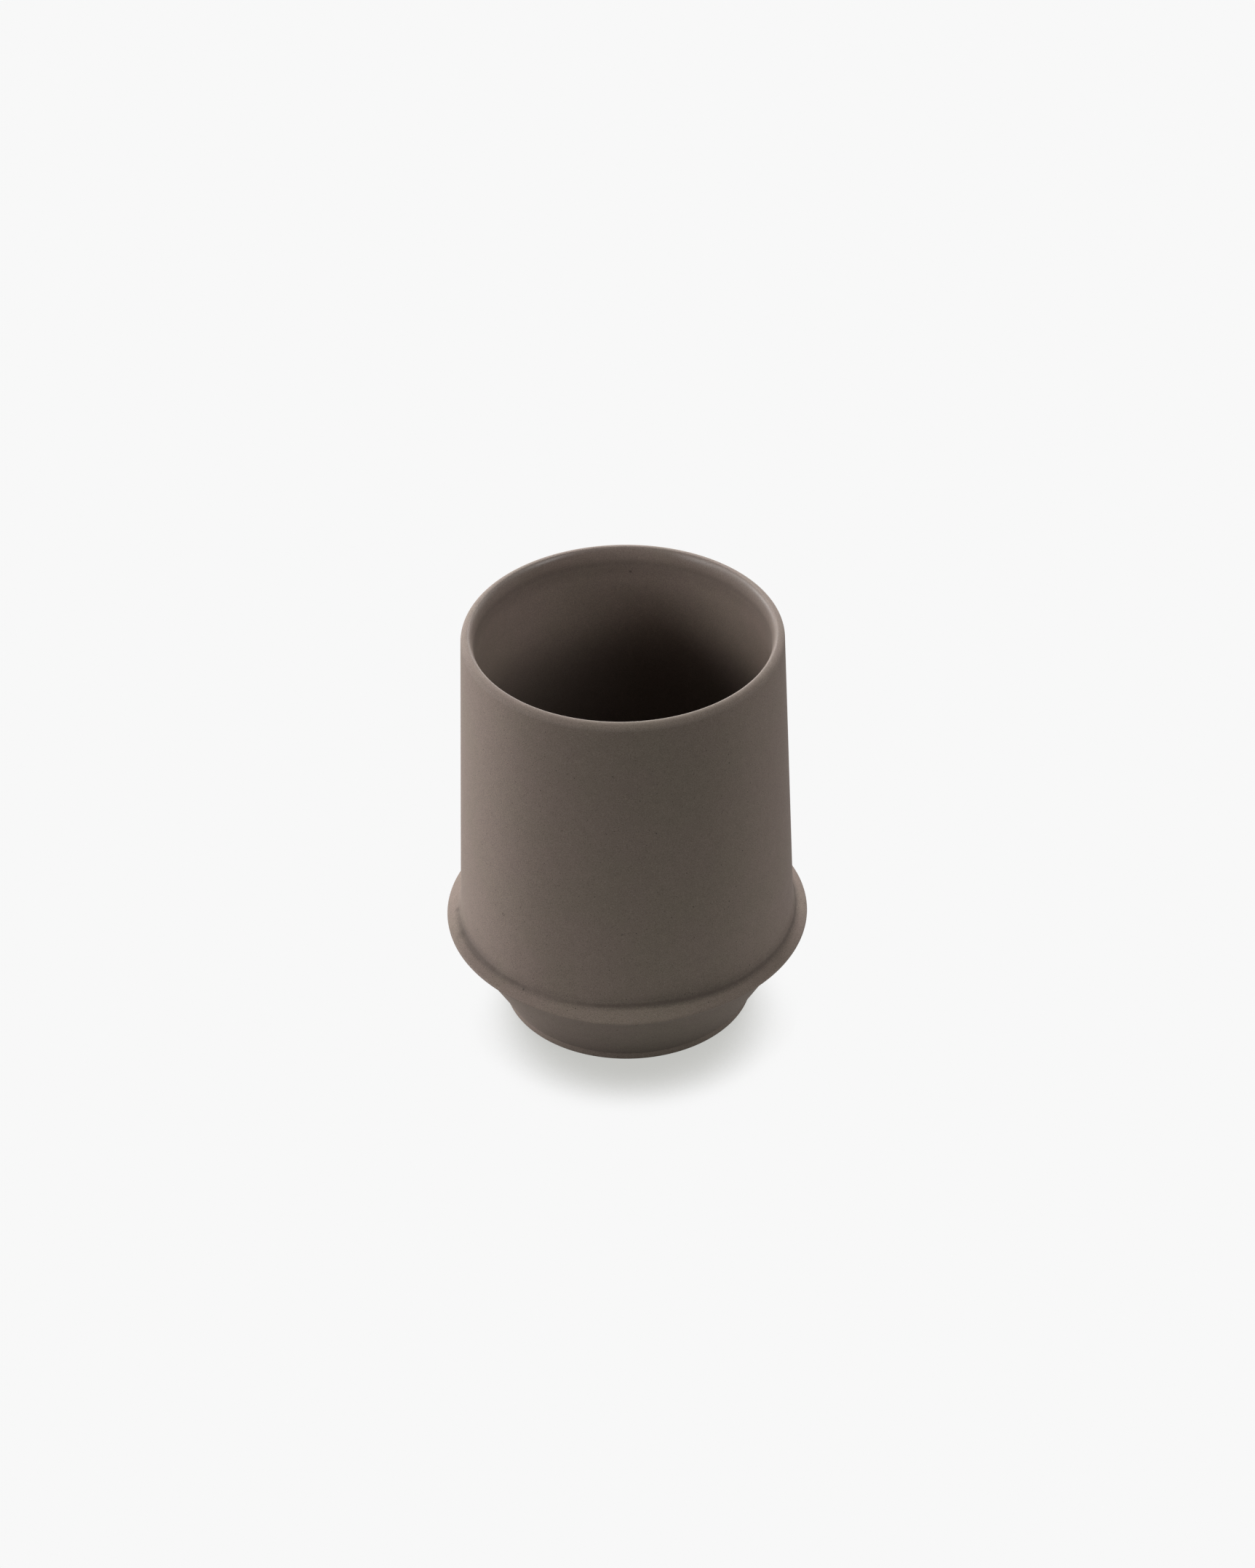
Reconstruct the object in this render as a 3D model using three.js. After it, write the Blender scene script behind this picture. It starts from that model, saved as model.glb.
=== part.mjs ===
// A handleless porcelain mug: a tapered cup with a cone-shaped bottom, luted with slip into a
// flared foot collar, and glazed inside and over the lip. Millimetres, +Z up, the origin at the
// middle of the face that it stands on.
import * as THREE from "three";

// Foot collar
const footRadius = 31.1; // outside of the standing ring
const footRingWidth = 2.6; // standing ring, from its outside to its inside
const footEdgeRound = 0.6;
const footBandHeight = 2.3; // upright band round the bottom of the foot
const footBandStep = 0.2; // how far the cone starts outside the band
const footConeHeight = 17.4;
const footConeFlare = 10.1; // how much wider the cone is at its top
const footWall = 3.0; // thickness of the collar's cone
const flangeUnderRise = 3.9; // the flange's underside climbs this much on its way out
const flangeUnderRound = 1.2;
const flangeReach = 3.95; // from the collar's top inner corner out to the flange's edge
const flangeTopRise = 2.1; // from the flange's edge up to the collar's top inner corner
const flangeEdgeRound = 0.9;

// Joint of slip between the cup and the collar
const slipThickness = 0.4;
const slipFilletUp = 1.8; // how far the slip is smoothed up the wall
const slipFilletOut = 1.2; // how far it is smoothed out over the flange

// Cup
const mugHeight = 107.3;
const lipRadius = 38.9; // outside of the wall where the lip starts to round
const shoulderRise = 0.9; // the wall's foot stands this much above the collar's top corner
const clayWall = 2.9;
const floorRecess = 2.6; // clear height under the cup's bottom, inside the standing ring
const floorThickness = 3.6;
const heelRound = 9; // inside, where the floor turns up into the cone
const bendRound = 8; // inside, where the cone turns up into the wall
const lipRound = 1.7; // outer rounding of the lip, as wide as it is high
const lipInnerRise = 5; // height over which the inside of the lip leans back

// Glaze
const glazeThickness = 0.3;

const facets = 72; // flat faces round each turned surface
const curveSteps = 3; // straight steps in each rounding

const clay = { color: 0x6d645c, roughness: 0.85, metalness: 0 };
const slip = { color: 0x57504a, roughness: 0.9, metalness: 0 };
const glaze = { color: 0x645c54, roughness: 0.38, metalness: 0 };

// Outlines are drawn in a plane of radius (x) and height (y).
const point = (radius, height) => new THREE.Vector2(radius, height);

// The point at a given height on the endless line through a and b.
function atHeight([a, b], height) {
  return a.clone().lerp(b, (height - a.y) / (b.y - a.y));
}

// The line from a to b moved sideways, to the left of its direction.
function movedLeft([a, b], distance) {
  const along = b.clone().sub(a).normalize();
  const sideways = point(-along.y, along.x).multiplyScalar(distance);
  return [a.clone().add(sideways), b.clone().add(sideways)];
}

// Where two endless lines cross.
function crossing([a, b], [c, d]) {
  const ab = b.clone().sub(a);
  const cd = d.clone().sub(c);
  const share = c.clone().sub(a).cross(cd) / ab.cross(cd);
  return a.clone().addScaledVector(ab, share);
}

// The point on the way from one point to another, a given distance from the first.
function towards(from, to, distance) {
  return to.clone().sub(from).setLength(distance).add(from);
}

// Adds the corners to the path. A corner with a round is replaced by a curve that starts and
// ends that far from it.
function addCorners(path, corners) {
  corners.forEach(({ at, round }, i) => {
    if (!round) {
      path.lineTo(at.x, at.y);
      return;
    }
    const before = towards(at, corners[i - 1].at, round);
    const after = towards(at, corners[i + 1].at, round);
    path.lineTo(before.x, before.y);
    path.quadraticCurveTo(at.x, at.y, after.x, after.y);
  });
}

// Turns an outline round the axis into a closed mesh that stands along +Z.
function turned(name, points, material) {
  const geometry = new THREE.LatheGeometry(points, facets);
  geometry.rotateX(Math.PI / 2);
  const mesh = new THREE.Mesh(geometry, new THREE.MeshStandardMaterial(material));
  mesh.name = name;
  return mesh;
}

// Lines that the pieces share
const footCone = [
  point(footRadius + footBandStep, footBandHeight),
  point(footRadius + footBandStep + footConeFlare, footBandHeight + footConeHeight),
];
const flangeEdgeHeight = footCone[1].y + flangeUnderRise;
const collarInside = movedLeft(footCone, footWall);
const cupCone = movedLeft(collarInside, slipThickness);
const collarCorner = atHeight(collarInside, flangeEdgeHeight + flangeTopRise);
const flangeEdge = point(collarCorner.x + flangeReach, flangeEdgeHeight);
const shoulder = atHeight(cupCone, collarCorner.y + shoulderRise);
const lipStart = point(lipRadius, mugHeight - lipRound);
const cupWall = [shoulder, lipStart];
const cupBase = atHeight(cupCone, floorRecess);
const collarBase = atHeight(collarInside, floorRecess);

// The inside of the cup under a coat of glaze, from under the lip down to the axis.
function insideCorners(coat) {
  const wall = movedLeft(cupWall, clayWall + coat);
  const cone = movedLeft(cupCone, clayWall + coat);
  const floor = floorRecess + floorThickness + coat;
  return [
    { at: atHeight(wall, mugHeight - lipInnerRise) },
    { at: crossing(wall, cone), round: bendRound },
    { at: atHeight(cone, floor), round: heelRound },
    { at: point(0, floor) },
  ];
}

// The cup's lip and inside under a coat of glaze, from the outside of the lip to the axis.
function liningPoints(coat) {
  const corners = insideCorners(coat);
  const ridge = lipRadius - lipRound;
  const bare = glazeThickness - coat;
  const lipFoot = mugHeight - lipInnerRise;
  const path = new THREE.Path();
  path.absellipse(ridge, lipStart.y, lipRound, lipRound - bare, 0, Math.PI / 2);
  path.absellipse(ridge, lipFoot, ridge - corners[0].at.x, lipInnerRise - bare, Math.PI / 2, Math.PI);
  addCorners(path, corners);
  return path.getPoints(curveSteps);
}

// The cast cup: wall, cone, floor and lip
function makeCup() {
  const outside = [point(0, floorRecess), cupBase, shoulder];
  return turned("cup_body", [...outside, ...liningPoints(0)], clay);
}

// The glaze: a thin skin on the inside, thinning to nothing outside the lip
function makeGlaze() {
  const underside = liningPoints(0).reverse();
  const surface = liningPoints(glazeThickness).slice(1);
  return turned("inner_glaze", [...underside, ...surface], glaze);
}

// The foot collar: standing ring, band, cone and flange
function makeFoot() {
  const ringInside = point(footRadius - footRingWidth, 0);
  const path = new THREE.Path().moveTo(ringInside.x, ringInside.y);
  addCorners(path, [
    { at: ringInside },
    { at: point(footRadius, 0), round: footEdgeRound },
    { at: point(footRadius, footBandHeight) },
    { at: footCone[0] },
    { at: footCone[1], round: flangeUnderRound },
    { at: flangeEdge, round: flangeEdgeRound },
    { at: collarCorner },
    { at: collarBase },
    { at: ringInside },
  ]);
  return turned("flanged_foot", path.getPoints(curveSteps), clay);
}

// The luting slip: a thin cone between cup and collar, smoothed into the crease above them
function makeSlip() {
  const crease = crossing(cupWall, [flangeEdge, collarCorner]);
  const onWall = towards(shoulder, lipStart, slipFilletUp);
  const onFlange = towards(collarCorner, flangeEdge, slipFilletOut);
  const path = new THREE.Path().moveTo(cupBase.x, cupBase.y);
  addCorners(path, [{ at: collarBase }, { at: collarCorner }, { at: onFlange }]);
  path.quadraticCurveTo(crease.x, crease.y, onWall.x, onWall.y);
  addCorners(path, [{ at: shoulder }, { at: cupBase }]);
  return turned("luting_slip", path.getPoints(curveSteps), slip);
}

const mug = new THREE.Group();
mug.name = "porcelain_mug";
mug.add(makeCup(), makeGlaze(), makeFoot(), makeSlip());

export default mug;
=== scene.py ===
# A handleless porcelain mug: a tapered cup luted with slip into a flared foot collar, bare on the
# outside and glazed inside. The pieces are turned round the axis where the CAD solids stand.
import math

import bmesh
import bpy
from bpy.props import FloatProperty, FloatVectorProperty, IntProperty, PointerProperty
from mathutils import Matrix, Vector, noise
from mathutils.geometry import intersect_line_line


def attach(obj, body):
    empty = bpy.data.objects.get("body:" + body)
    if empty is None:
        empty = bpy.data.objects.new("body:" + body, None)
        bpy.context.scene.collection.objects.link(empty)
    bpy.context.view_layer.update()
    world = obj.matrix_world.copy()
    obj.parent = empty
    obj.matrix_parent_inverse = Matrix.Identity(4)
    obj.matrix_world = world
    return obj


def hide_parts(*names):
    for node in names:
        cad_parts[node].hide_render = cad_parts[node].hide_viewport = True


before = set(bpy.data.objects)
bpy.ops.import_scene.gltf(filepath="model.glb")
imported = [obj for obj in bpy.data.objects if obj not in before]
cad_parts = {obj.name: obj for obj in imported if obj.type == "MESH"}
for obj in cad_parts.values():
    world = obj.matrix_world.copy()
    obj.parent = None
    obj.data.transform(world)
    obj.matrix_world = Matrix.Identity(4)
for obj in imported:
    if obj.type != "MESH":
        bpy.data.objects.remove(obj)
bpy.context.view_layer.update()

bl_info = {
    "name": "Porcelain mug",
    "version": (1, 0, 0),
    "blender": (4, 5, 0),
    "location": "View3D > Sidebar > Mug",
    "description": "Turns a porcelain mug's cup, foot collar, slip and glaze, and lights them",
    "category": "Add Mesh",
}

MM = 0.001
WHOLE = -1.0  # a rounding that takes up both of the lines that meet at its corner


def length(name, millimetres, description):
    """A size that the user can change, given here in millimetres."""
    return FloatProperty(
        name=name, description=description, default=millimetres * MM, min=0.0,
        precision=5, unit="LENGTH",
    )


def linear(level):
    """A screen level, 0 to 255, as the light that it stands for."""
    share = level / 255
    return share / 12.92 if share <= 0.04045 else ((share + 0.055) / 1.055) ** 2.4


def colour(name, red, green, blue, description):
    """A colour that the user can change, given here in screen levels."""
    light = [linear(level) for level in (red, green, blue)]
    return FloatVectorProperty(
        name=name, description=description, default=light, min=0.0, max=1.0, size=3, subtype="COLOR"
    )


def number(name, default, description, low=0.0, high=1.0):
    return FloatProperty(name=name, description=description, default=default, min=low, max=high)


class FootSizes(bpy.types.PropertyGroup):
    """The foot collar: a standing ring, a cone that widens upwards and a flange round its top."""

    radius: length("Foot radius", 31.1, "Outside of the standing ring")
    ring_width: length("Ring width", 2.6, "Standing ring, from its outside to its inside")
    edge_round: length("Edge rounding", 0.6, "Rounding where the foot meets the table")
    band_height: length("Band height", 2.3, "Upright band round the bottom of the foot")
    band_step: length("Band step", 0.2, "How far the cone starts outside the band")
    cone_height: length("Cone height", 17.4, "Height of the collar's cone")
    cone_flare: length("Cone flare", 10.1, "How much wider the cone is at its top")
    wall: length("Collar wall", 3.0, "Thickness of the collar's cone")
    under_rise: length("Underside rise", 3.9, "How far the flange's underside climbs outwards")
    under_round: length("Underside rounding", 1.2, "Rounding between the cone and the flange")
    reach: length("Flange reach", 3.95, "From the collar's top inner corner to the flange's edge")
    top_rise: length("Flange top rise", 2.1, "From the flange's edge up to the top inner corner")
    flange_round: length("Flange rounding", 0.9, "Rounding of the flange's edge")
    droop: length("Flange droop", 1.1, "How much lower the pressed edge hangs in front")


class SlipSizes(bpy.types.PropertyGroup):
    """The slip that joins the cup and the collar, smoothed into the crease above them."""

    thickness: length("Slip thickness", 0.4, "Gap that the slip fills between cup and collar")
    up: length("Smoothed up", 1.8, "How far the slip is smoothed up the wall")
    out: length("Smoothed out", 1.2, "How far the slip is smoothed out over the flange")
    unevenness: length("Unevenness", 0.16, "How unevenly the finger left the slip")


class CupSizes(bpy.types.PropertyGroup):
    """The cast cup and the glaze inside it."""

    height: length("Mug height", 107.3, "From the table to the top of the lip")
    lip_radius: length("Lip radius", 38.9, "Outside of the wall where the lip starts to round")
    shoulder_rise: length("Shoulder rise", 0.9, "The wall's foot above the collar's top corner")
    wall: length("Wall", 2.9, "Thickness of the clay wall")
    recess: length("Recess", 2.6, "Clear height under the cup's bottom")
    floor: length("Floor", 3.6, "Thickness of the clay floor")
    heel_round: length("Heel rounding", 9.0, "Inside, where the floor turns up into the cone")
    bend_round: length("Bend rounding", 8.0, "Inside, where the cone turns up into the wall")
    lip_round: length("Lip rounding", 1.7, "Outer rounding of the lip")
    lip_depth: length("Lip depth", 5.0, "Height over which the inside of the lip leans back")
    glaze: length("Glaze", 0.3, "Thickness of the glaze")


class MeshDetail(bpy.types.PropertyGroup):
    """How finely the pieces are turned."""

    facets: IntProperty(
        name="Facets", description="Steps round each turned piece", default=192, min=24, max=360
    )
    curve_steps: IntProperty(
        name="Curve steps", description="Steps in each rounding", default=10, min=2, max=24
    )
    spacing: length("Spacing", 1.6, "Longest step along a straight run")


class Finishes(bpy.types.PropertyGroup):
    """Colours and gloss of the bare porcelain and of the glaze."""

    clay_warm: colour("Warm clay", 106, 94, 87, "Where the stain drew a little to pink")
    # Cool clay also carries the painted greenish tint of the floor's light in front.
    clay_cool: colour("Cool clay", 103, 94, 84, "Where the stain drew a little to green")
    slip: colour("Slip", 72, 63, 57, "Slip and fine grit left in the crease")
    speck: colour("Specks", 46, 41, 37, "Grains of iron in the clay")
    clay_roughness: number("Clay roughness", 0.9, "Roughness of the bare porcelain")
    clay_gloss: number("Clay gloss", 0.2, "Specular level of the bare porcelain")
    glaze_roughness: number("Glaze roughness", 0.48, "Roughness of the satin glaze")
    glaze_gloss: number("Glaze gloss", 0.4, "Specular level of the glaze")


class Studio(bpy.types.PropertyGroup):
    """The floor, the backdrop, the soft lamps and the camera."""

    paper: colour("Paper", 248, 248, 248, "Floor and backdrop, as the camera sees them")
    shade: colour("Shade", 62, 63, 12, "What the paper passes into where it is shaded")
    shadow_depth: number("Shadow depth", 0.45, "How dark the floor gets in full shade")
    shadow_reach: length("Shadow reach", 30.0, "How far from the mug the floor is still shaded")
    shadow_side: FloatProperty(
        name="Shadow side", description="Side that the light kept off the floor comes from",
        default=math.radians(-175), subtype="ANGLE",
    )
    shadow_lean: FloatProperty(
        name="Shadow lean", description="How far that light leans from straight above",
        default=math.radians(45), subtype="ANGLE",
    )
    floor_bounce: number("Floor bounce", 0.696, "How much light the floor throws up at the mug")
    bounce_reach: length("Bounce reach", 200.0, "How far out the floor throws light back")
    camera_height: FloatProperty(
        name="Camera elevation", description="How far the camera looks down",
        default=math.radians(36.408), subtype="ANGLE",
    )
    camera_roll: FloatProperty(
        name="Camera roll", description="How far the camera is turned about its line of sight",
        default=math.radians(-0.924), subtype="ANGLE",
    )
    camera_distance: length("Camera distance", 1150.0, "From the camera to the point it looks at")
    target_side: length("Target side", 0.581, "The point looked at, to the right")
    target_height: length("Target height", 61.948, "The point looked at, above the floor")
    focal_length: FloatProperty(
        name="Focal length", description="On a sensor 36 mm high", default=107.65, unit="CAMERA"
    )


class MugSettings(bpy.types.PropertyGroup):
    """Everything about the mug that the user can change."""

    foot: PointerProperty(type=FootSizes)
    slip: PointerProperty(type=SlipSizes)
    cup: PointerProperty(type=CupSizes)
    detail: PointerProperty(type=MeshDetail)
    finishes: PointerProperty(type=Finishes)
    studio: PointerProperty(type=Studio)


# Outlines lie in the plane of radius (x) and height (z), in metres.


def spot(radius, height):
    return Vector((radius, 0.0, height))


def at_height(line, height):
    """The point at a height on the endless line through two points."""
    low, high = line
    return low.lerp(high, (height - low.z) / (high.z - low.z))


def moved_left(line, distance):
    """The line moved sideways, to the left of its direction."""
    along = (line[1] - line[0]).normalized()
    sideways = spot(-along.z, along.x) * distance
    return line[0] + sideways, line[1] + sideways


def crossing(line, other):
    """Where two endless lines cross."""
    return intersect_line_line(*line, *other)[0]


def towards(start, end, distance):
    return start + (end - start).normalized() * distance


class MugLines:
    """The lines and corners that the pieces share, worked out from the sizes."""

    def __init__(self, mug):
        foot, slip, cup = mug.foot, mug.slip, mug.cup
        cone_foot = spot(foot.radius + foot.band_step, foot.band_height)
        cone_top = cone_foot + spot(foot.cone_flare, foot.cone_height)
        self.foot_cone = cone_foot, cone_top
        self.collar_inside = moved_left(self.foot_cone, foot.wall)
        self.cup_cone = moved_left(self.collar_inside, slip.thickness)
        edge_height = cone_top.z + foot.under_rise
        self.collar_corner = at_height(self.collar_inside, edge_height + foot.top_rise)
        self.flange_edge = spot(self.collar_corner.x + foot.reach, edge_height)
        self.shoulder = at_height(self.cup_cone, self.collar_corner.z + cup.shoulder_rise)
        self.lip_start = spot(cup.lip_radius, cup.height - cup.lip_round)
        self.cup_wall = self.shoulder, self.lip_start
        self.cup_base = at_height(self.cup_cone, cup.recess)
        self.collar_base = at_height(self.collar_inside, cup.recess)
        self.crease = crossing(self.cup_wall, (self.flange_edge, self.collar_corner))

    def lining(self, cup, coat):
        """Corners of the lip and the inside under a coat of glaze, from the lip to the axis."""
        bare = cup.glaze - coat
        top = cup.height - bare
        outer = at_height(self.cup_wall, top)
        wall = moved_left(self.cup_wall, cup.wall + coat)
        cone = moved_left(self.cup_cone, cup.wall + coat)
        floor = cup.recess + cup.floor + coat
        lip_foot = at_height(wall, cup.height - cup.lip_depth)
        return [
            (self.lip_start, 0.0),
            (outer, WHOLE),
            (spot(cup.lip_radius - cup.lip_round, top), 0.0),
            (spot(lip_foot.x, top), WHOLE),
            (lip_foot, 0.0),
            (crossing(wall, cone), cup.bend_round),
            (at_height(cone, floor), cup.heel_round),
            (spot(0.0, floor), 0.0),
        ]


def drawn(corners, detail, closed):
    """A wire through the corners, with the corners rounded and the straight runs divided."""
    wire = bmesh.new()
    points = [wire.verts.new(place) for place, _ in corners]
    following = points[1:] + points[:1] if closed else points[1:]
    for point, after in zip(points, following):
        wire.edges.new((point, after))
    for point, (_, rounding) in zip(points, corners):
        if rounding == 0.0:
            continue
        whole = rounding == WHOLE
        bmesh.ops.bevel(
            wire, geom=[point], offset=100.0 if whole else rounding,
            offset_type="PERCENT" if whole else "OFFSET", affect="VERTICES",
            segments=detail.curve_steps, profile=0.5, material=-1,
        )
    bmesh.ops.remove_doubles(wire, verts=wire.verts, dist=0.001 * MM)
    for run in list(wire.edges):
        cuts = int(run.calc_length() / detail.spacing)
        if cuts:
            bmesh.ops.subdivide_edges(wire, edges=[run], cuts=cuts)
    return wire


def spun(wire, detail):
    """Spins the wire a whole turn about the axis into a closed skin."""
    bmesh.ops.spin(
        wire, geom=wire.verts[:] + wire.edges[:], cent=(0, 0, 0), axis=(0, 0, 1), dvec=(0, 0, 0),
        angle=2 * math.pi, steps=detail.facets, use_merge=True, use_duplicate=False,
    )
    bmesh.ops.remove_doubles(wire, verts=wire.verts, dist=0.001 * MM)
    bmesh.ops.dissolve_degenerate(wire, edges=wire.edges, dist=0.0001 * MM)
    bmesh.ops.recalc_face_normals(wire, faces=wire.faces)
    return wire


PRESSED_SIDE = -3.0  # where the flange was pressed down, in degrees round the mug from its front
PRESSED_SPREAD = 40.0  # how far the dip reaches to each side, in degrees


def pressed(skin, foot, lines):
    """Presses the flange down a little in front, the more the further out."""
    for vert in skin.verts:
        out = (math.hypot(vert.co.x, vert.co.y) - lines.collar_corner.x) / foot.reach
        turn = math.degrees(math.atan2(vert.co.x, -vert.co.y)) - PRESSED_SIDE
        if out > 0.0 and abs(turn) < PRESSED_SPREAD:
            vert.co.z -= foot.droop * out * math.cos(math.radians(turn * 90 / PRESSED_SPREAD)) ** 2


def placed(name, skin, material, node):
    """Makes the skin a piece that rides on the mug and takes the CAD node's place."""
    for face in skin.faces:
        face.smooth = True
    for edge in skin.edges:
        edge.smooth = edge.calc_face_angle(0.0) < math.radians(30)
    mesh = bpy.data.meshes.new(name)
    skin.to_mesh(mesh)
    skin.free()
    mesh.materials.append(material)
    piece = bpy.data.objects.new(name, mesh)
    bpy.context.scene.collection.objects.link(piece)
    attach(piece, "root")
    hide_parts(node)


class Value:
    """A socket's value in a finish, worked on with Python's own operators."""

    def __init__(self, finish, socket):
        self.finish = finish
        self.socket = socket

    def out(self, name):
        """Another value that the same node gives."""
        return Value(self.finish, self.socket.node.outputs[name])

    def maths(self, operation, *values):
        return self.finish.node("ShaderNodeMath", {"operation": operation}, dict(enumerate(values)))

    def __add__(self, other):
        return self.maths("ADD", self, other)

    def __sub__(self, other):
        return self.maths("SUBTRACT", self, other)

    def __rsub__(self, other):
        return self.maths("SUBTRACT", other, self)

    def __mul__(self, other):
        return self.maths("MULTIPLY", self, other)

    def __pow__(self, other):
        return self.maths("POWER", self, other)

    def __abs__(self):
        return self.maths("ABSOLUTE", self)

    __radd__ = __add__
    __rmul__ = __mul__

    def step(self, low, high):
        """0 below low, 1 above high, and smooth between them; high may be the smaller one."""
        sockets = {"Value": self, "From Min": low, "From Max": high}
        return self.finish.node("ShaderNodeMapRange", {"interpolation_type": "SMOOTHSTEP"}, sockets)


class Finish:
    """A material, or the world, whose nodes are laid out from Python."""

    def __init__(self, owner):
        owner.use_nodes = True
        self.tree = owner.node_tree
        self.tree.nodes.clear()

    def node(self, kind, settings=None, sockets=None, output=0):
        """Adds a node, sets it up, feeds its sockets and gives one of its outputs."""
        added = self.tree.nodes.new(kind)
        for name, setting in (settings or {}).items():
            setattr(added, name, setting)
        for name, value in (sockets or {}).items():
            if isinstance(value, Value):
                self.tree.links.new(value.socket, added.inputs[name])
            else:
                added.inputs[name].default_value = value
        return Value(self, added.outputs[output]) if len(added.outputs) else None

    def place(self):
        """Where on the piece a point lies, in millimetres."""
        seat = self.node("ShaderNodeTexCoord", output="Object")
        return self.scaled(seat, 1 / MM)

    def parts(self, place):
        """A point's X, which also gives its Y and Z."""
        return self.node("ShaderNodeSeparateXYZ", None, {0: place})

    def gap(self, place, where):
        """How far a point lies from a place, in millimetres."""
        ends = {0: place, 1: where}
        return self.node("ShaderNodeVectorMath", {"operation": "DISTANCE"}, ends, "Value")

    def scaled(self, vector, size):
        return self.node("ShaderNodeVectorMath", {"operation": "SCALE"}, {0: vector, "Scale": size})

    def mixed(self, share, start, end):
        """One colour passing into another."""
        start, end = (c if isinstance(c, Value) else (*c, 1.0) for c in (start, end))
        sockets = {0: share, 6: start, 7: end}  # 6, 7 and output 2 are the ones for colours
        return self.node("ShaderNodeMix", {"data_type": "RGBA"}, sockets, 2)

    def grain(self, place, size, detail=2.0):
        """Cloudy noise whose patches are about this many millimetres across."""
        return self.node(
            "ShaderNodeTexNoise", None, {"Vector": place, "Scale": 1 / size, "Detail": detail}
        )

    def dots(self, place, cell, radius, share):
        """Round specks, one in each of a share of the cells of this many millimetres."""
        cells = self.node("ShaderNodeTexVoronoi", None, {"Vector": place, "Scale": 1 / cell})
        chance = self.node("ShaderNodeSeparateColor", None, {0: cells.out("Color")})
        size = chance.out("Green") * radius
        inside = (cells * cell - size).step(0.0, -0.35 * radius)
        return inside * chance.step(share + 0.001, share)

    def surface(self, tint, rough, gloss, relief, strength):
        """Ends a material's nodes in a plain surface with a fine relief."""
        heights = {"Strength": strength, "Distance": RELIEF_HEIGHT, "Height": relief}
        bump = self.node("ShaderNodeBump", None, heights)
        looks = {"Base Color": tint, "Roughness": rough, "Specular IOR Level": gloss}
        shader = self.node("ShaderNodeBsdfPrincipled", None, {**looks, "Normal": bump})
        self.node("ShaderNodeOutputMaterial", None, {"Surface": shader})


RELIEF_HEIGHT = 0.03 * MM  # height that the relief's bumps stand for

# Places round the mug: degrees from its front, spread to each side in degrees, and strength.
PAINTED_TINT_PLACE = (18.0, 65.0, 0.6)  # painted tint: a greenish cast in front, where the floor's light falls most
LOW_LINE_PLACE = (8.0, 34.0, 0.8)  # the slip line lies lower, by the strength in millimetres
CLEAN_PLACE = (-98.0, 26.0, 0.95)  # the crease was wiped clean
WEAK_PLACE = (-25.0, 20.0, 0.6)  # the slip line is faint
GRIT_AND_SHADE_PLACES = ((-66.0, 24.0, 1.0), (26.0, 40.0, 1.0))  # grit and painted shade are stronger round the crease
WET_PLACES = ((-153.0, 26.0, 0.26), (153.0, 24.0, 0.14))  # the glaze on the lip is smoother

SMALL_MARKS = (
    # place in millimetres, size in millimetres and strength
    ((-25.69, -33.98, 25.33), 0.5, 0.8),
    ((-24.15, -27.24, 11.09), 0.45, 0.8),
    ((1.85, -40.96, 19.02), 0.5, 0.6),
    ((-42.48, -1.88, 25.4), 1.1, 0.3),
    ((-41.4, -11.66, 25.0), 2.0, 0.22),
)
PIT = (-30.03, -27.75, 43.75)
PIT_RING = 0.33  # radius of the dark ring round the pit, in millimetres
DEEPEST_SPECK = 0.85  # how far a speck can pass into its own colour


def bump_round(turn, middle, spread, strength):
    """The strength at a place on the way round the mug, falling to 0 at the spread, in degrees."""
    return abs(turn - math.radians(middle)).step(math.radians(spread), 0.0) * strength


def off_axis(parts):
    """How far a point lies from the axis."""
    return (parts * parts + parts.out("Y") * parts.out("Y")) ** 0.5


def way_round(parts):
    """How far round the mug a point lies, in radians, 0 in front and more to the right."""
    return parts.maths("ARCTAN2", parts, 0.0 - parts.out("Y"))


def clay_tone(finish, look, place, turn):
    """The bare porcelain's colour, cloudy and finely grained, with a painted greenish tint in front
    for the light that the floor throws up.
    """
    clouds = finish.grain(place, 14.0, 3.0).step(0.35, 0.65)
    # The clouds are the clay's own tone; the tint in front is painted light from the floor.
    clouds_and_painted_tint = clouds * 0.4 + bump_round(turn, *PAINTED_TINT_PLACE)
    tint = finish.mixed(clouds_and_painted_tint, look.clay_warm, look.clay_cool)
    grains = 0.4 + finish.grain(place, 0.22, 2.0) * 1.2
    mottled = 0.93 + finish.grain(place, 2.6, 4.0) * 0.14
    return finish.scaled(tint, grains * mottled)


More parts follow.
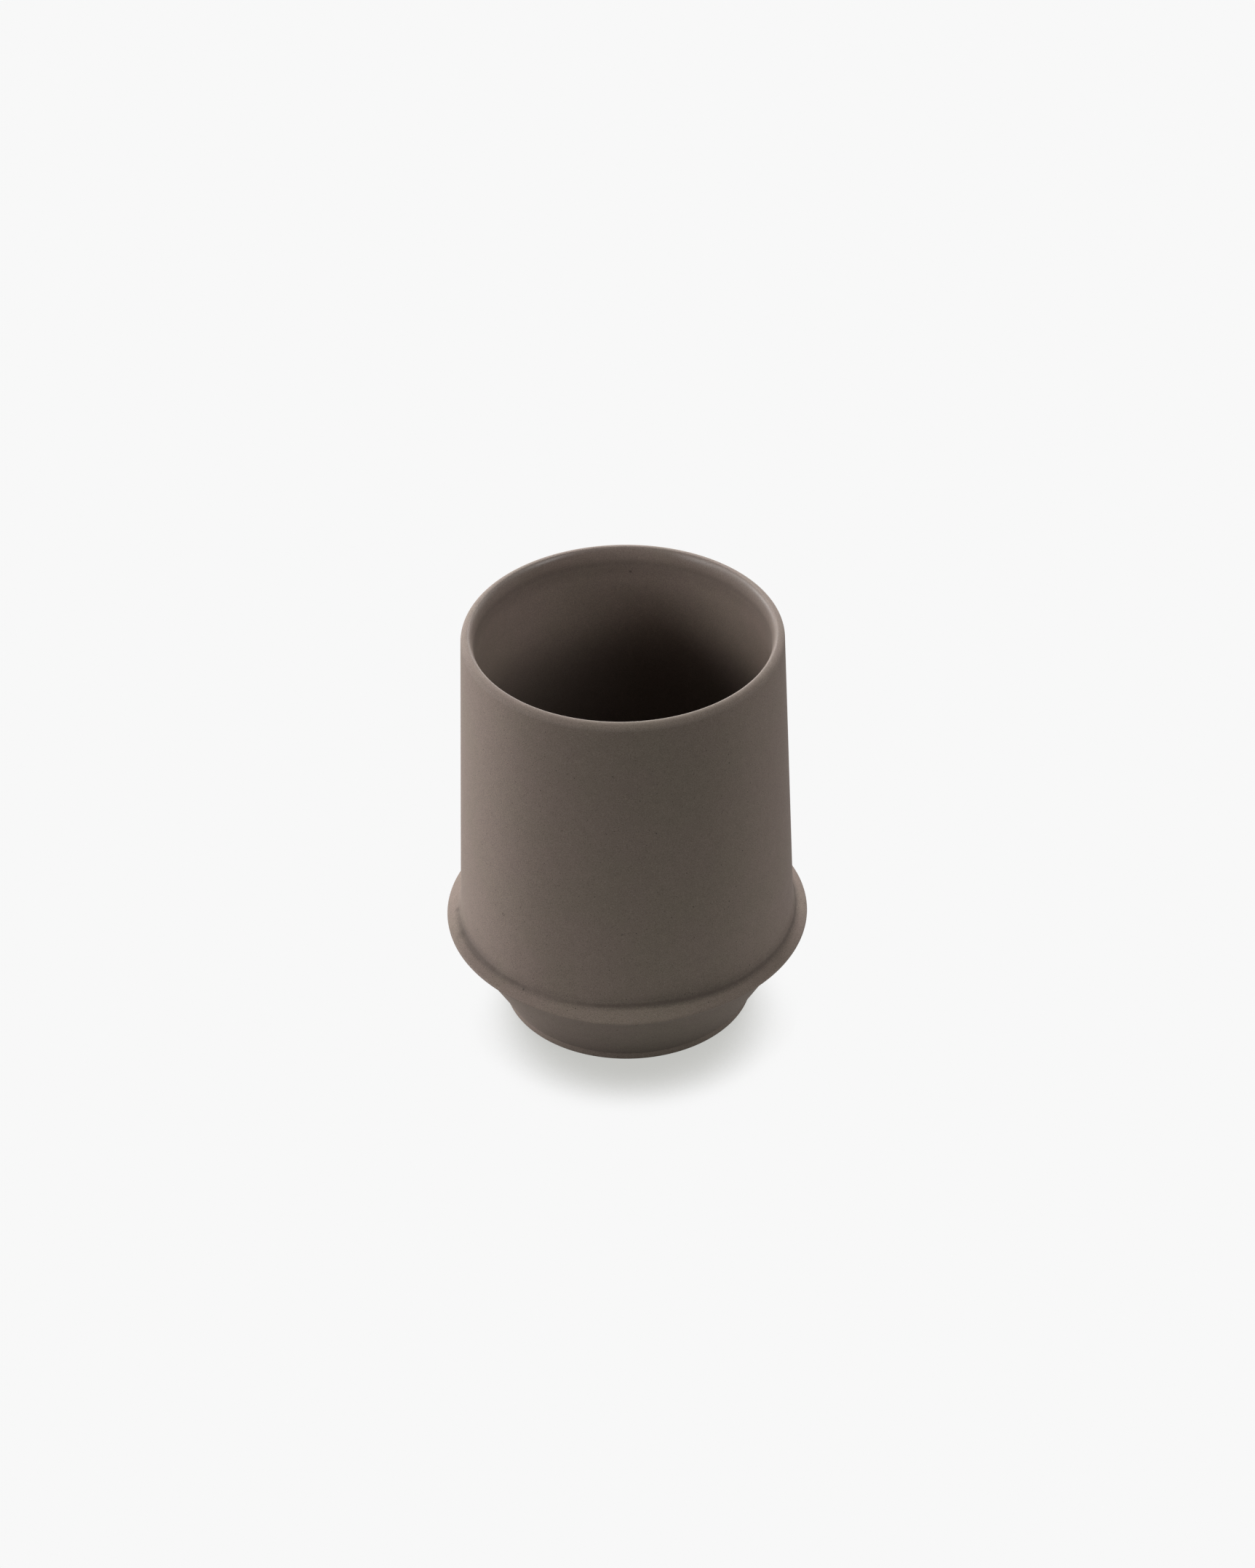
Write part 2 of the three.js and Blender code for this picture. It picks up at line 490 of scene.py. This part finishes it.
def crease_marks(finish, place, parts, turn, lines):
    """How strongly the slip line, and the halo round it that is partly grit and partly painted
    shade, show in the crease above the flange.
    """
    # Millimetres down and out from the line, which lies lower in front, wavers and is ragged.
    down = (off_axis(parts) - lines.crease.x / MM) - (parts.out("Z") - lines.crease.z / MM)
    waver = (finish.grain(place, 20.0, 2.0) - 0.5) * 0.5
    ragged = (finish.grain(place, 0.45, 3.0) - 0.5) * 1.1
    down = down + bump_round(turn, *LOW_LINE_PLACE) - 0.65 + waver + ragged

    clean = 1.0 - bump_round(turn, *CLEAN_PLACE)
    gaps = finish.grain(place, 6.0, 2.0).step(0.5, 0.75) * 0.35
    crumbs = finish.grain(place, 1.1, 3.0).step(0.45, 0.7) * 0.3
    patchy = (1.0 - bump_round(turn, *WEAK_PLACE) - gaps - crumbs) * clean
    line = down.step(-1.0, -0.1) * down.step(1.1, 0.2) * patchy

    # A halo round the line, partly grit and partly painted shade in the crease, stronger towards
    # the back.
    grit_and_shade = finish.grain(place, 24.0, 2.0).step(0.4, 0.65) * parts.out("Y").step(-10.0, 10.0)
    grit_and_shade = grit_and_shade + sum(bump_round(turn, *grit_and_shade_place) for grit_and_shade_place in GRIT_AND_SHADE_PLACES)
    near = down.step(-3.4, -0.6) * down.step(2.4, 0.8)
    far = down.step(-8.0, -1.0) * down.step(2.4, 0.4)
    return line, (near * (0.18 + grit_and_shade * 0.06) + far * grit_and_shade * 0.1) * clean


def clay_finish(name, look, lines):
    """Bare porcelain: matte, specked with iron, and dark with slip, grit and painted shade in the
    crease.
    """
    material = bpy.data.materials.new(name)
    finish = Finish(material)
    place = finish.place()
    parts = finish.parts(place)
    turn = way_round(parts)
    # stain: partly grit and partly painted shade round the slip line.
    line, stain = crease_marks(finish, place, parts, turn, lines)
    marked = finish.scaled(clay_tone(finish, look, place, turn), 1.0 - stain)
    marked = finish.mixed(line * 0.75, marked, look.slip)

    pores = finish.dots(place, 0.9, 0.18, 0.5)
    fine = finish.dots(place, 1.7, 0.22, 0.6)
    coarse = finish.dots(place, 9.0, 0.3, 0.35)
    spots = pores * 0.55 + fine * 0.7 + coarse * 0.9
    for where, size, strength in SMALL_MARKS:
        spots = spots + finish.gap(place, where).step(size, size * 0.3) * strength
    pit = finish.gap(place, PIT)
    spots = spots + abs(pit - PIT_RING).step(0.2, 0.04) * 0.5
    specked = finish.mixed(spots.maths("MINIMUM", spots, DEEPEST_SPECK), marked, look.speck)

    relief = finish.grain(place, 0.35, 3.0) * 0.6 + finish.grain(place, 5.0, 2.0) * 3.0
    relief = relief - coarse * 0.8 - pit.step(0.3, 0.1) * 1.5
    rough = look.clay_roughness - finish.grain(place, 0.5, 3.0) * 0.1
    finish.surface(specked, rough, look.clay_gloss, relief, 0.5)
    return material


def glaze_finish(name, look, lip):
    """Satin glaze over the same dark porcelain, fired dry where it thins out over the lip, with
    painted shade far down and in a line under the lip, and a painted paler band between.
    """
    material = bpy.data.materials.new(name)
    finish = Finish(material)
    place = finish.place()
    parts = finish.parts(place)
    turn, height, radius = way_round(parts), parts.out("Z"), off_axis(parts)
    painted_depth_shade = height.step(90.0, 68.0) * 0.38  # painted shade: darker far down inside
    painted_pale_band = height.step(102.0, 98.0) * height.step(76.0, 90.0) * 0.22  # painted light: paler under the lip
    painted_lip_shade = abs(height - 103.3).step(1.4, 0.0) * 0.15  # painted shade: a darker line round the inside, just under the lip
    tone = finish.scaled(clay_tone(finish, look, place, turn), 1.0 + painted_pale_band - painted_depth_shade - painted_lip_shade)
    specks = finish.dots(place, 9.0, 0.4, 0.3)
    specked = finish.mixed(specks * 0.6, tone, look.speck)

    dry = radius.step(lip - 0.7, lip + 0.3) * height.step(103.0, 105.0)
    wet = sum(bump_round(turn, *wet_place) for wet_place in WET_PLACES)
    wet = wet * height.step(102.5, 104.5) * radius.step(lip - 0.2, lip - 1.0)
    rough = look.glaze_roughness + (finish.grain(place, 3.0) - 0.5) * 0.08
    rough = rough + dry * (look.clay_roughness - look.glaze_roughness) - wet
    relief = finish.grain(place, 6.0, 2.0) * 2.0 + finish.grain(place, 0.9, 2.0) * 0.3
    finish.surface(specked, rough, look.glaze_gloss, relief, 0.4)
    return material


class MUG_OT_cup(bpy.types.Operator):
    """Turn the cast cup: its wall, cone, floor and lip"""

    bl_idname = "mug.cup"
    bl_label = "Cup"

    def execute(self, context):
        mug = context.scene.mug
        lines = MugLines(mug)
        outside = [(spot(0.0, mug.cup.recess), 0.0), (lines.cup_base, 0.0), (lines.shoulder, 0.0)]
        wire = drawn(outside + lines.lining(mug.cup, 0.0), mug.detail, closed=False)
        finish = clay_finish("cup_porcelain", mug.finishes, lines)
        placed("mug_cup", spun(wire, mug.detail), finish, "cup_body")
        return {"FINISHED"}


class MUG_OT_foot_collar(bpy.types.Operator):
    """Turn the foot collar: its standing ring, band, cone and flange"""

    bl_idname = "mug.foot_collar"
    bl_label = "Foot collar"

    def execute(self, context):
        mug = context.scene.mug
        foot = mug.foot
        lines = MugLines(mug)
        corners = [
            (spot(foot.radius - foot.ring_width, 0.0), 0.0),
            (spot(foot.radius, 0.0), foot.edge_round),
            (spot(foot.radius, foot.band_height), 0.0),
            (lines.foot_cone[0], 0.0),
            (lines.foot_cone[1], foot.under_round),
            (lines.flange_edge, foot.flange_round),
            (lines.collar_corner, 0.0),
            (lines.collar_base, 0.0),
        ]
        finish = clay_finish("foot_porcelain", mug.finishes, lines)
        collar = spun(drawn(corners, mug.detail, closed=True), mug.detail)
        pressed(collar, foot, lines)
        placed("mug_foot_collar", collar, finish, "flanged_foot")
        return {"FINISHED"}


FILLET_DEPTH = 1.2 * MM  # how far below the crease the fillet is uneven
LUMPS = 2.4 * MM  # size of the lumps that a finger left in it
FINE_LUMPS = 0.8 * MM


class MUG_OT_slip(bpy.types.Operator):
    """Turn the slip between cup and collar, and leave its fillet uneven as a finger does"""

    bl_idname = "mug.slip"
    bl_label = "Slip joint"

    def execute(self, context):
        mug = context.scene.mug
        lines = MugLines(mug)
        corners = [
            (lines.cup_base, 0.0),
            (lines.collar_base, 0.0),
            (lines.collar_corner, 0.0),
            (towards(lines.collar_corner, lines.flange_edge, mug.slip.out), 0.0),
            (lines.crease, WHOLE),
            (towards(lines.shoulder, lines.lip_start, mug.slip.up), 0.0),
            (lines.shoulder, 0.0),
        ]
        fillet = spun(drawn(corners, mug.detail, closed=True), mug.detail)
        for vert in fillet.verts:
            out = Vector((vert.co.x, vert.co.y, 0.0))
            if out.length > lines.crease.x and vert.co.z > lines.crease.z - FILLET_DEPTH:
                hollow = noise.noise(vert.co / LUMPS) + 0.4 * noise.noise(vert.co / FINE_LUMPS)
                away = out.normalized() + Vector((0, 0, 1))
                vert.co += away * (hollow * mug.slip.unevenness * 0.5)
        pressed(fillet, mug.foot, lines)
        finish = clay_finish("slip_porcelain", mug.finishes, lines)
        placed("mug_slip", fillet, finish, "luting_slip")
        return {"FINISHED"}


class MUG_OT_glaze(bpy.types.Operator):
    """Lay the thin glaze over the lip and the inside"""

    bl_idname = "mug.glaze"
    bl_label = "Glaze"

    def execute(self, context):
        mug = context.scene.mug
        lines = MugLines(mug)
        underside = lines.lining(mug.cup, 0.0)
        surface = lines.lining(mug.cup, mug.cup.glaze)
        corners = underside + surface[:0:-1]
        skin = spun(drawn(corners, mug.detail, closed=True), mug.detail)
        ridge = (mug.cup.lip_radius - mug.cup.lip_round) / MM
        finish = glaze_finish("satin_glaze", mug.finishes, ridge)
        placed("mug_glaze", skin, finish, "inner_glaze")
        return {"FINISHED"}


SOFTBOXES = (
    # azimuth (0 in front, 90 to the right) and elevation in degrees, light
    (-120.0, 4.0, 1.187),
    (180.0, 38.0, 1.051),
    (180.0, 25.0, 0.816),
    (-90.0, 25.0, 0.469),
    (-60.0, 14.0, 0.336),
    (120.0, 4.0, 0.281),
    (60.0, 38.0, 0.250),
    (60.0, 25.0, 0.226),
    (0.0, 88.0, 0.200),
    (-60.0, 25.0, 0.118),
    (90.0, 38.0, 0.104),
    (-90.0, 4.0, 0.093),
)
LAMP_DISTANCE = 0.9  # from the point that every lamp is aimed at, in metres
LAMP_SIZE = 0.42
LAMP_AIM_HEIGHT = 0.06
FLOOR_HALF = 4.0  # half the floor's width, in metres
FLOOR_GAP = 0.02 * MM  # keeps the floor and the foot's underside apart
SHADED_SKY, OPEN_SKY = 0.235, 0.58  # shares of open sky that shade the floor fully and not at all
POOL_UNDER = 0.15  # share of its light that the floor still throws back at the foot
POOL_EDGE = 26.0  # how far from the foot it throws back all of it, in millimetres


class MUG_OT_stage(bpy.types.Operator):
    """Lay the pale floor, hang the backdrop, set up the soft lamps and the camera"""

    bl_idname = "mug.stage"
    bl_label = "Stage"

    def execute(self, context):
        studio = context.scene.mug.studio
        self.lay_floor(context, studio)
        self.hang_backdrop(context, studio)
        for azimuth, elevation, light in SOFTBOXES:
            self.softbox(context, azimuth, elevation, light)
        self.aim_camera(context, studio)
        context.scene.view_settings.view_transform = "Standard"
        return {"FINISHED"}

    def lay_floor(self, context, studio):
        sheet = bmesh.new()
        just_below = Matrix.Translation((0.0, 0.0, -FLOOR_GAP))
        bmesh.ops.create_grid(
            sheet, x_segments=1, y_segments=1, size=FLOOR_HALF, matrix=just_below
        )
        mesh = bpy.data.meshes.new("floor")
        sheet.to_mesh(mesh)
        sheet.free()
        material = bpy.data.materials.new("pale_paper")
        material.cycles.emission_sampling = "NONE"
        finish = Finish(material)
        ray = finish.node("ShaderNodeLightPath", output="Is Camera Ray")
        seen = (ray + ray.out("Is Glossy Ray") + ray.out("Is Transmission Ray")).step(0.0, 1.0)
        open_sky = finish.node(
            "ShaderNodeAmbientOcclusion", {"samples": 32},
            {"Distance": studio.shadow_reach, "Normal": self.pointing(finish, studio)}, "AO",
        )
        shade = 1.0 - studio.shadow_depth * (1.0 - open_sky.step(SHADED_SKY, OPEN_SKY))
        tint = finish.mixed(shade, studio.shade, studio.paper)
        plain = finish.node("ShaderNodeEmission", None, {"Color": tint})
        radius = off_axis(finish.parts(finish.place()))
        foot, reach = context.scene.mug.foot.radius / MM, studio.bounce_reach / MM
        beside = POOL_UNDER + radius.step(foot, foot + POOL_EDGE) * (1.0 - POOL_UNDER)
        pool = radius.step(reach, reach / 2) * beside
        glow = finish.node("ShaderNodeCombineColor", None, {0: pool, 1: pool, 2: pool})
        light = {"Color": glow, "Strength": studio.floor_bounce}
        thrown = finish.node("ShaderNodeEmission", None, light)
        both = finish.node("ShaderNodeMixShader", None, {0: seen, 1: thrown, 2: plain})
        finish.node("ShaderNodeOutputMaterial", None, {"Surface": both})
        mesh.materials.append(material)
        floor = bpy.data.objects.new("floor", mesh)
        context.scene.collection.objects.link(floor)

    def pointing(self, finish, studio):
        """The direction that the floor's light comes from."""
        side, lean = studio.shadow_side, studio.shadow_lean
        across, along = math.sin(side) * math.sin(lean), -math.cos(side) * math.sin(lean)
        ends = {0: across, 1: along, 2: math.cos(lean)}
        return finish.node("ShaderNodeCombineXYZ", None, ends)

    def hang_backdrop(self, context, studio):
        world = bpy.data.worlds.new("backdrop")
        context.scene.world = world
        finish = Finish(world)
        ray = finish.node("ShaderNodeLightPath", output="Is Camera Ray")
        direction = finish.node("ShaderNodeTexCoord", output="Generated")
        behind = finish.parts(direction).out("Y").step(0.0, 0.5)
        mirrored = (ray.out("Is Glossy Ray") + ray.out("Is Transmission Ray")) * behind
        tint = finish.mixed((ray + mirrored).step(0.0, 1.0), (0.0, 0.0, 0.0), studio.paper)
        shader = finish.node("ShaderNodeBackground", None, {"Color": tint, "Strength": 1.0})
        finish.node("ShaderNodeOutputWorld", None, {"Surface": shader})

    def softbox(self, context, azimuth, elevation, light):
        """Hangs a round lamp on that side of the mug, at an equal distance from it."""
        turn, tilt = math.radians(azimuth), math.radians(elevation)
        direction = Vector(
            (math.sin(turn) * math.cos(tilt), -math.cos(turn) * math.cos(tilt), math.sin(tilt))
        )
        box = bpy.data.objects.new("softbox", bpy.data.lights.new("softbox", "AREA"))
        context.scene.collection.objects.link(box)
        box.data.shape = "DISK"
        box.data.size = LAMP_SIZE
        box.data.energy = light * math.pi**2 * LAMP_DISTANCE**2
        box.location = Vector((0.0, 0.0, LAMP_AIM_HEIGHT)) + direction * LAMP_DISTANCE
        box.rotation_mode = "QUATERNION"
        box.rotation_quaternion = direction.to_track_quat("Z", "Y")

    def aim_camera(self, context, studio):
        tilt, roll = studio.camera_height, studio.camera_roll
        back = Vector((0.0, -math.cos(tilt), math.sin(tilt)))
        level = Vector((1.0, 0.0, 0.0))
        upright = back.cross(level)
        right = level * math.cos(roll) + upright * math.sin(roll)
        up = upright * math.cos(roll) - level * math.sin(roll)
        camera = bpy.data.objects.new("camera", bpy.data.cameras.new("camera"))
        context.scene.collection.objects.link(camera)
        turned = Matrix((right, up, back)).transposed().to_4x4()
        target = Vector((studio.target_side, 0.0, studio.target_height))
        camera.matrix_world = Matrix.Translation(target + back * studio.camera_distance) @ turned
        camera.data.lens = studio.focal_length
        camera.data.sensor_width = 36.0
        camera.data.clip_start = 0.05
        camera.data.clip_end = 50.0
        context.scene.camera = camera


MAKERS = (MUG_OT_cup, MUG_OT_foot_collar, MUG_OT_slip, MUG_OT_glaze, MUG_OT_stage)
GROUPS = (FootSizes, SlipSizes, CupSizes, MeshDetail, Finishes, Studio, MugSettings)


class MUG_PT_sidebar(bpy.types.Panel):
    """Lists the pieces and the sizes that they are turned from"""

    bl_idname = "MUG_PT_sidebar"
    bl_label = "Porcelain mug"
    bl_space_type = "VIEW_3D"
    bl_region_type = "UI"
    bl_category = "Mug"

    def draw(self, context):
        mug = context.scene.mug
        for maker in MAKERS:
            self.layout.operator(maker.bl_idname)
        for group in (mug.cup, mug.foot, mug.slip, mug.detail, mug.finishes, mug.studio):
            box = self.layout.box()
            for name in group.__annotations__:
                box.prop(group, name)


def register():
    for kind in (*GROUPS, *MAKERS, MUG_PT_sidebar):
        bpy.utils.register_class(kind)
    bpy.types.Scene.mug = PointerProperty(type=MugSettings)


def unregister():
    del bpy.types.Scene.mug
    for kind in (MUG_PT_sidebar, *reversed(MAKERS), *reversed(GROUPS)):
        bpy.utils.unregister_class(kind)


def main():
    register()
    bpy.ops.mug.cup()
    bpy.ops.mug.foot_collar()
    bpy.ops.mug.slip()
    bpy.ops.mug.glaze()
    bpy.ops.mug.stage()
    bpy.context.view_layer.update()


if __name__ == "__main__":
    main()
